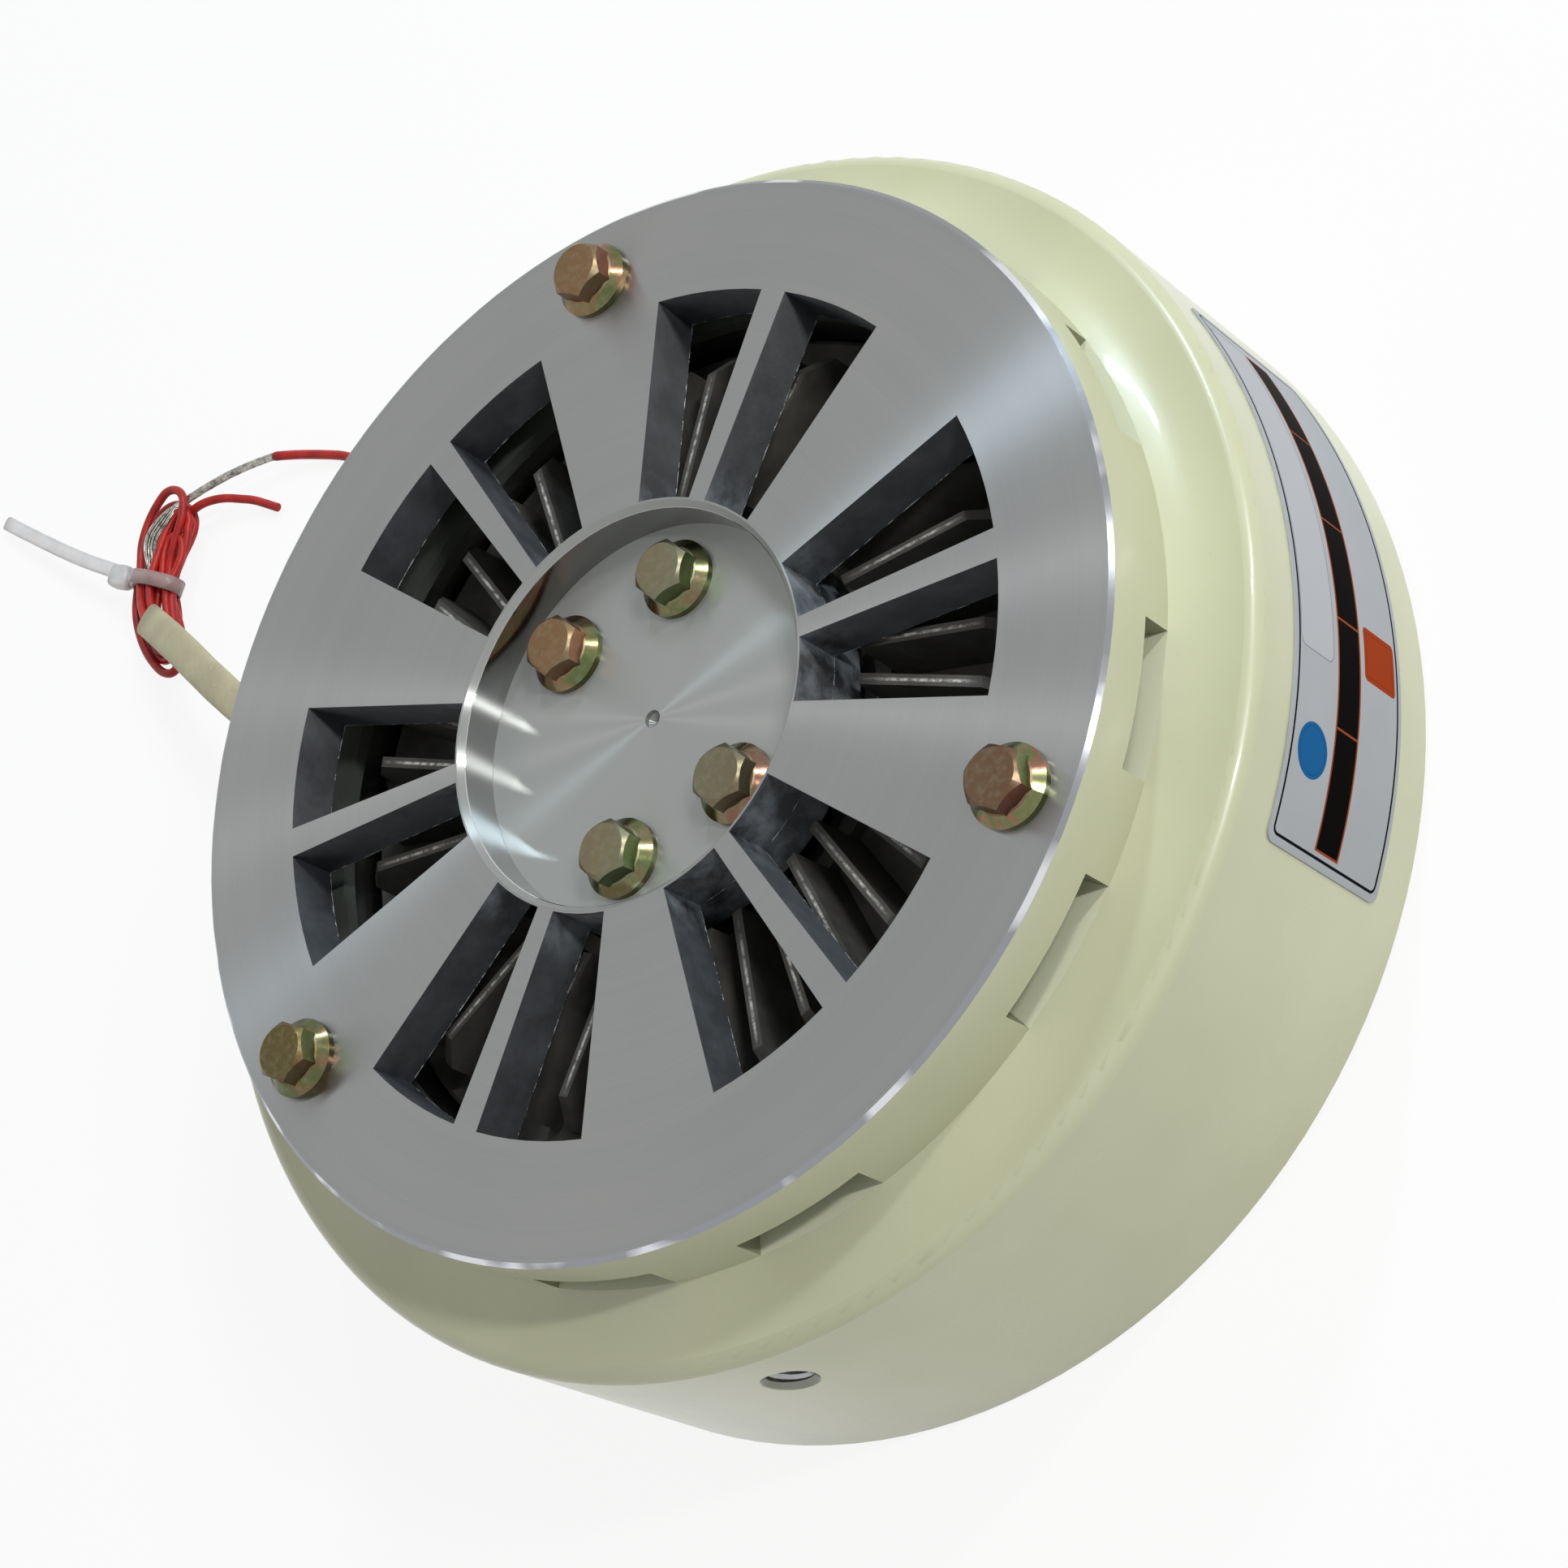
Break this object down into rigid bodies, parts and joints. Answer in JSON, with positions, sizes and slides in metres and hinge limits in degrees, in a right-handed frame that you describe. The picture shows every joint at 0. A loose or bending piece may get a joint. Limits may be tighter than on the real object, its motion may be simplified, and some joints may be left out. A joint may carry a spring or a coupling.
{
  "type": "magnetic powder brake",
  "caption": "Round electric powder brake with a machined, windowed front bracket over a finned rotor, a painted steel body, a keyed bore at the rear and a tied wire lead.",
  "frame": {"origin": "centre of the flat rear face, on the brake's axis, where it stands on a bench", "axes": "+Z along the brake's axis from the rear face to the machined front plate; +X towards the label"},
  "size_m": [0.3147, 0.182, 0.0672],
  "materials": {
    "bracket_cast": "machined face, cast and painted sides",
    "zinc_bolt": "yellow passivated zinc",
    "cream_paint": "gloss cream",
    "bare_steel": "turned steel",
    "bobbin_plastic": "moulded",
    "copper_wire": "enamelled copper",
    "wrap_tape": "insulating tape",
    "cover_iron": "turned cast iron",
    "black_screw": "black oxide",
    "powder": "fine magnetic powder",
    "stainless": "turned",
    "fan_cast": "die cast",
    "bearing_steel": "ground and polished",
    "cage_steel": "pressed",
    "seal_rubber": "moulded",
    "label_film": "printed film, left without words",
    "sleeve_cream": "woven insulating sleeve",
    "wire_red": "red insulation",
    "tie_nylon": "natural nylon",
    "tinned_wire": "tinned strands"
  },
  "bodies": {
    "frame": {"front_bracket": "bracket_cast", "bracket_bolts": "zinc_bolt", "stator_bolts": "zinc_bolt", "field_housing": "cream_paint", "rear_pole_ring": "bare_steel", "coil_bobbin": "bobbin_plastic", "coil_winding": "copper_wire", "coil_wrap": "wrap_tape", "rear_cover": "cover_iron", "cover_screws": "black_screw", "inner_stator": "bare_steel", "rear_outer_race": "bearing_steel", "front_outer_race": "bearing_steel", "rear_seal": "seal_rubber", "rating_label": "label_film", "lead_grommet": "seal_rubber", "lead_sleeve": "sleeve_cream", "lead_wires": "wire_red", "wire_hank": "wire_red", "cable_tie": "tie_nylon", "tinned_end": "tinned_wire", "red_end": "wire_red"},
    "rotor": {"drum_rear_cup": "bare_steel", "drum_barrier_ring": "stainless", "drum_front_ring": "bare_steel", "front_fan": "fan_cast", "fan_screws": "black_screw", "hub": "bare_steel", "hub_screws": "black_screw", "powder_charge": "powder", "rear_inner_race": "bearing_steel", "front_inner_race": "bearing_steel", "rear_circlip": "black_screw", "front_circlip": "black_screw", "front_seal": "seal_rubber"},
    "rear_ball_set": {"rear_balls": "bearing_steel", "rear_cage": "cage_steel"},
    "front_ball_set": {"front_balls": "bearing_steel", "front_cage": "cage_steel"}
  },
  "joints": [
    {"name": "rotor_spin", "type": "hinge", "parent": "frame", "child": "rotor", "pos_m": [0, 0, 0.03], "axis": [0, 0, 1], "continuous": true},
    {"name": "rear_ball_set_spin", "type": "hinge", "parent": "frame", "child": "rear_ball_set", "pos_m": [0, 0, 0.009], "axis": [0, 0, 1], "continuous": true},
    {"name": "front_ball_set_spin", "type": "hinge", "parent": "frame", "child": "front_ball_set", "pos_m": [0, 0, 0.0297], "axis": [0, 0, 1], "continuous": true}
  ],
  "couplings": [
    {"joint": "rear_ball_set_spin", "follows": "rotor_spin", "ratio": 0.43778},
    {"joint": "front_ball_set_spin", "follows": "rotor_spin", "ratio": 0.43766}
  ]
}
